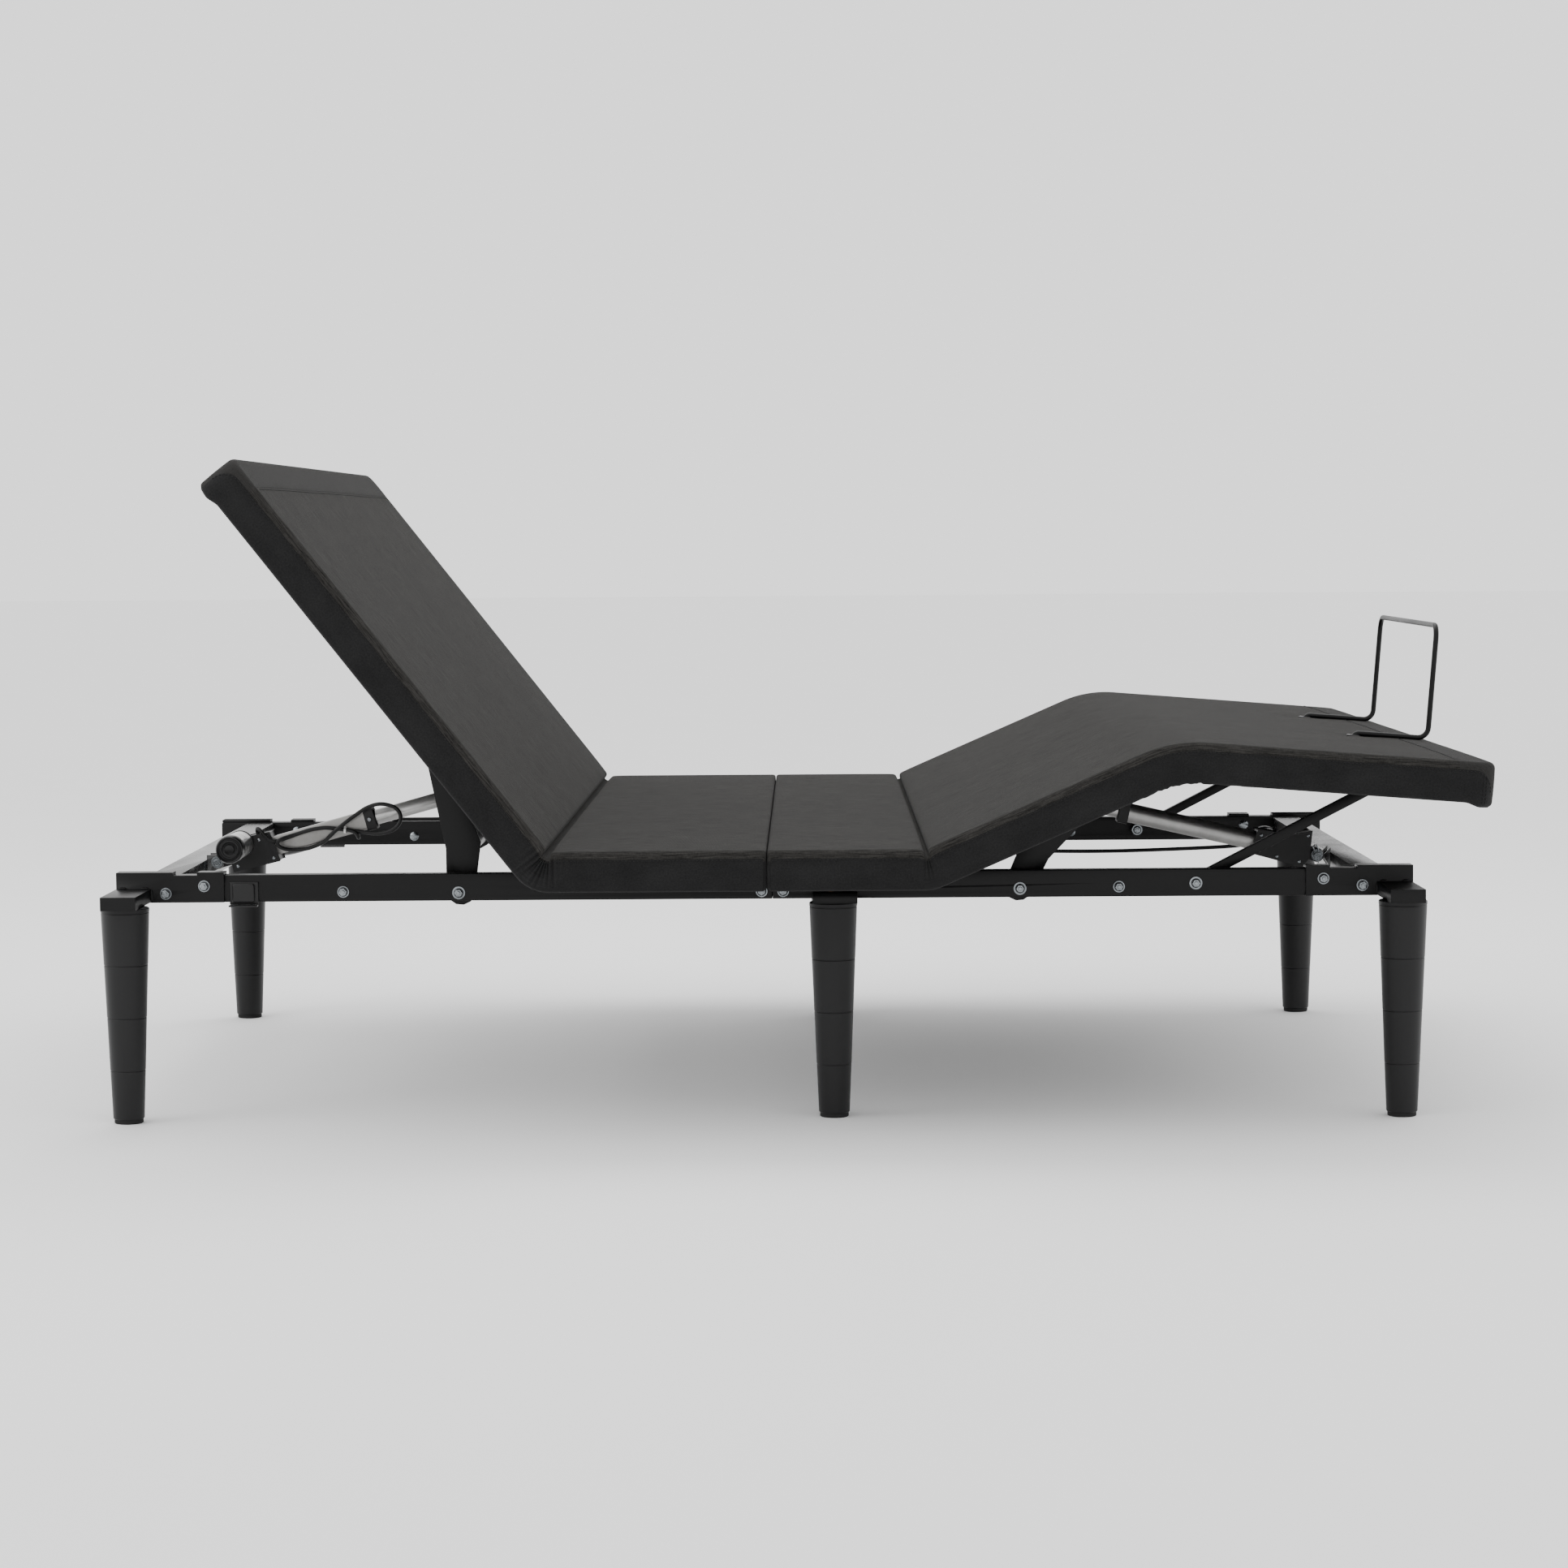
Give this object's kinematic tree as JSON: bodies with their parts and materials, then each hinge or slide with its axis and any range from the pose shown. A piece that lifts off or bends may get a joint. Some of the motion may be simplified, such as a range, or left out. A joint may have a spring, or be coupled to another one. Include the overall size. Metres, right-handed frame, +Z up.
{
  "type": "adjustable bed base",
  "caption": "Queen adjustable bed base: fabric-covered panels that raise the head and bend the knees on linear actuators, on a black steel frame with conical legs.",
  "frame": {"origin": "on the floor under the middle of the object's box as it stands, head and knees raised", "axes": "+X to the foot end, +Y across the bed to the far side, +Z up"},
  "size_m": [1.9658, 1.524, 0.9476],
  "materials": {
    "powder_coated_steel": "satin black powder coat",
    "zinc_fastener": "zinc plated",
    "actuator_metal": "satin",
    "leg_plastic": "satin charcoal",
    "housing_plastic": "matte black",
    "deck_board": "plain board with a dark dust cover",
    "deck_fabric": "heathered charcoal weave",
    "cable_rubber": "matte black"
  },
  "bodies": {
    "frame": {"rail_head_near": "powder_coated_steel", "rail_head_far": "powder_coated_steel", "rail_foot_near": "powder_coated_steel", "rail_foot_far": "powder_coated_steel", "outrigger_head_near": "powder_coated_steel", "outrigger_head_far": "powder_coated_steel", "outrigger_foot_near": "powder_coated_steel", "outrigger_foot_far": "powder_coated_steel", "leg_head_near": "leg_plastic", "leg_head_far": "leg_plastic", "leg_mid_near": "leg_plastic", "leg_mid_far": "leg_plastic", "leg_foot_near": "leg_plastic", "leg_foot_far": "leg_plastic", "cross_tube_head": "powder_coated_steel", "cross_tube_foot": "powder_coated_steel", "splice_cross_tube": "powder_coated_steel", "mid_leg_bracket_near": "powder_coated_steel", "mid_leg_bracket_far": "powder_coated_steel", "head_lift_bolt_near": "zinc_fastener", "head_lift_bolt_far": "zinc_fastener", "foot_lift_bolt_near": "zinc_fastener", "foot_lift_bolt_far": "zinc_fastener", "foot_link_bolt_near": "zinc_fastener", "foot_link_bolt_far": "zinc_fastener", "control_box": "housing_plastic", "head_actuator_pin": "zinc_fastener", "foot_actuator_pin": "zinc_fastener", "seat_head_board": "deck_board", "seat_head_pad": "deck_fabric", "seat_foot_board": "deck_board", "seat_foot_pad": "deck_fabric", "head_hinge_fixed_leaf": "powder_coated_steel", "thigh_hinge_fixed_leaf": "powder_coated_steel", "head_motor_cable": "cable_rubber", "foot_motor_cable": "cable_rubber"},
    "head_panel": {"head_board": "deck_board", "head_pad": "deck_fabric", "head_hinge_moving_leaf": "powder_coated_steel"},
    "thigh_panel": {"thigh_board": "deck_board", "thigh_pad": "deck_fabric", "thigh_hinge_moving_leaf": "powder_coated_steel", "knee_hinge_fixed_leaf": "powder_coated_steel"},
    "calf_panel": {"calf_board": "deck_board", "calf_pad": "deck_fabric", "knee_hinge_moving_leaf": "powder_coated_steel", "calf_link_crossbar": "powder_coated_steel", "retainer_bar": "powder_coated_steel"},
    "head_lift": {"head_lift_arm": "powder_coated_steel"},
    "foot_lift": {"foot_lift_arm": "powder_coated_steel"},
    "foot_links": {"foot_link_near": "powder_coated_steel", "foot_link_far": "powder_coated_steel"},
    "head_actuator": {"head_gearbox": "housing_plastic", "head_motor": "actuator_metal", "head_outer_tube": "actuator_metal"},
    "head_rod": {"head_rod": "actuator_metal"},
    "foot_actuator": {"foot_gearbox": "housing_plastic", "foot_motor": "actuator_metal", "foot_outer_tube": "actuator_metal"},
    "foot_rod": {"foot_rod": "actuator_metal"}
  },
  "joints": [
    {"name": "head_hinge", "type": "hinge", "parent": "frame", "child": "head_panel", "pos_m": [-0.3497, 0, 0.36], "axis": [0, 1, 0], "range_deg": [-51.9, 3.1]},
    {"name": "thigh_hinge", "type": "hinge", "parent": "frame", "child": "thigh_panel", "pos_m": [0.19816, 0, 0.36], "axis": [0, -1, 0], "range_deg": [-23.5, 6.5]},
    {"name": "knee_hinge", "type": "hinge", "parent": "thigh_panel", "child": "calf_panel", "pos_m": [0.53549, 0, 0.50668], "axis": [0, 1, 0], "range_deg": [-28.01, 7.75]},
    {"name": "head_lift_pivot", "type": "hinge", "parent": "frame", "child": "head_lift", "pos_m": [-0.4788, 0, 0.3209], "axis": [0, 1, 0], "range_deg": [-74.2, 4.44]},
    {"name": "foot_lift_pivot", "type": "hinge", "parent": "frame", "child": "foot_lift", "pos_m": [0.3343, 0, 0.3222], "axis": [0, -1, 0], "range_deg": [-41.83, 11.58]},
    {"name": "foot_link_pivot", "type": "hinge", "parent": "frame", "child": "foot_links", "pos_m": [0.5888, 0, 0.3285], "axis": [0, -1, 0], "range_deg": [-24.24, 6.71]},
    {"name": "head_actuator_pivot", "type": "hinge", "parent": "frame", "child": "head_actuator", "pos_m": [-0.872, -0.2, 0.3435], "axis": [0, -1, 0], "range_deg": [-19.02, 1.14]},
    {"name": "head_rod_slide", "type": "slide", "parent": "head_actuator", "child": "head_rod", "axis": [0.9646, 0, 0.2637], "range_m": [-0.10904, 0.00652]},
    {"name": "foot_actuator_pivot", "type": "hinge", "parent": "frame", "child": "foot_actuator", "pos_m": [0.801, -0.2, 0.344], "axis": [0, 1, 0], "range_deg": [-13.08, 3.62]},
    {"name": "foot_rod_slide", "type": "slide", "parent": "foot_actuator", "child": "foot_rod", "axis": [-0.975, 0, 0.2224], "range_m": [-0.05873, 0.01625]}
  ],
  "couplings": [
    {"joint": "knee_hinge", "follows": "thigh_hinge", "ratio": 1.1915},
    {"joint": "head_lift_pivot", "follows": "head_hinge", "ratio": 1.4294},
    {"joint": "foot_lift_pivot", "follows": "thigh_hinge", "ratio": 1.7797},
    {"joint": "foot_link_pivot", "follows": "thigh_hinge", "ratio": 1.0313},
    {"joint": "head_actuator_pivot", "follows": "head_hinge", "ratio": 0.36631},
    {"joint": "head_rod_slide", "follows": "head_hinge", "m_per_rad": 0.12036},
    {"joint": "foot_actuator_pivot", "follows": "thigh_hinge", "ratio": 0.55634},
    {"joint": "foot_rod_slide", "follows": "thigh_hinge", "m_per_rad": 0.14315}
  ]
}
